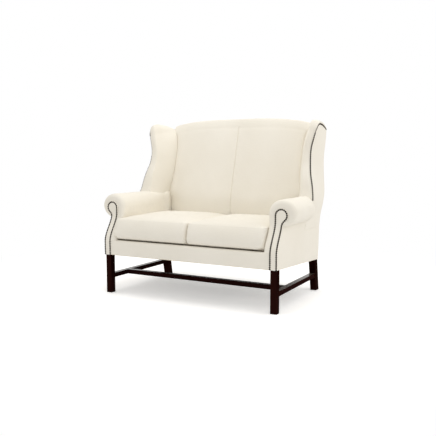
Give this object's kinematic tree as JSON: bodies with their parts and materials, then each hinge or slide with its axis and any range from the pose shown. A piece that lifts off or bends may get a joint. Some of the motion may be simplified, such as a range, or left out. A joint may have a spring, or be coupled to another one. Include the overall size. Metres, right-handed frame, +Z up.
{
  "type": "settee",
  "caption": "High back settee with shaped wings, scroll arms, loose seat cushions, nail trim and square legs joined by stretchers.",
  "frame": {"origin": "floor level, middle of the width and of the depth", "axes": "+X towards the arm on the right seen from the front, +Y from the front to the back, +Z up"},
  "size_m": [1.334, 0.7749, 1.135],
  "materials": {
    "cover_fabric": "woven, matt, warm cream",
    "dark_polished_wood": "dark mahogany polish, satin",
    "antique_nail": "dark antique, satin",
    "frame_wood": "planed, unfinished",
    "canvas": "coarse weave",
    "black_lining": "thin matt cloth"
  },
  "bodies": {
    "frame": {"front_leg_left": "dark_polished_wood", "front_leg_right": "dark_polished_wood", "rear_leg_left": "dark_polished_wood", "rear_leg_right": "dark_polished_wood", "side_stretcher_left": "dark_polished_wood", "side_stretcher_right": "dark_polished_wood", "cross_stretcher": "dark_polished_wood", "front_seat_rail": "frame_wood", "side_seat_rail_left": "frame_wood", "side_seat_rail_right": "frame_wood", "rear_seat_rail": "frame_wood", "centre_seat_rail": "frame_wood", "corner_blocks": "frame_wood", "arm_stump_left": "frame_wood", "arm_stump_right": "frame_wood", "scroll_block_left": "frame_wood", "scroll_block_right": "frame_wood", "arm_board_left": "frame_wood", "arm_board_right": "frame_wood", "back_post_left": "frame_wood", "back_post_right": "frame_wood", "back_top_rail": "frame_wood", "back_bottom_rail": "frame_wood", "back_stile": "frame_wood", "wing_upright_left": "frame_wood", "wing_upright_right": "frame_wood", "wing_top_rail_left": "frame_wood", "wing_top_rail_right": "frame_wood", "seat_webbing_long": "canvas", "seat_webbing_cross": "canvas", "back_webbing": "canvas", "seat_platform": "canvas", "front_rail_cover": "cover_fabric", "inside_arm_left": "cover_fabric", "inside_arm_right": "cover_fabric", "arm_roll_left": "cover_fabric", "arm_roll_right": "cover_fabric", "arm_facing_left": "cover_fabric", "arm_facing_right": "cover_fabric", "outside_arm_left": "cover_fabric", "outside_arm_right": "cover_fabric", "outside_wing_left": "cover_fabric", "outside_wing_right": "cover_fabric", "outside_back": "cover_fabric", "inside_back": "cover_fabric", "wing_pad_left": "cover_fabric", "wing_pad_right": "cover_fabric", "dust_cover": "black_lining", "arm_nails_left": "antique_nail", "arm_nails_right": "antique_nail", "wing_nails_left": "antique_nail", "wing_nails_right": "antique_nail"},
    "left_cushion": {"seat_cushion_left": "cover_fabric"},
    "right_cushion": {"seat_cushion_right": "cover_fabric"}
  },
  "joints": [
    {"name": "left_cushion_lift", "type": "slide", "parent": "frame", "child": "left_cushion", "axis": [0, 0, 1], "range_m": [0, 0.3]},
    {"name": "right_cushion_lift", "type": "slide", "parent": "frame", "child": "right_cushion", "axis": [0, 0, 1], "range_m": [0, 0.3]}
  ]
}
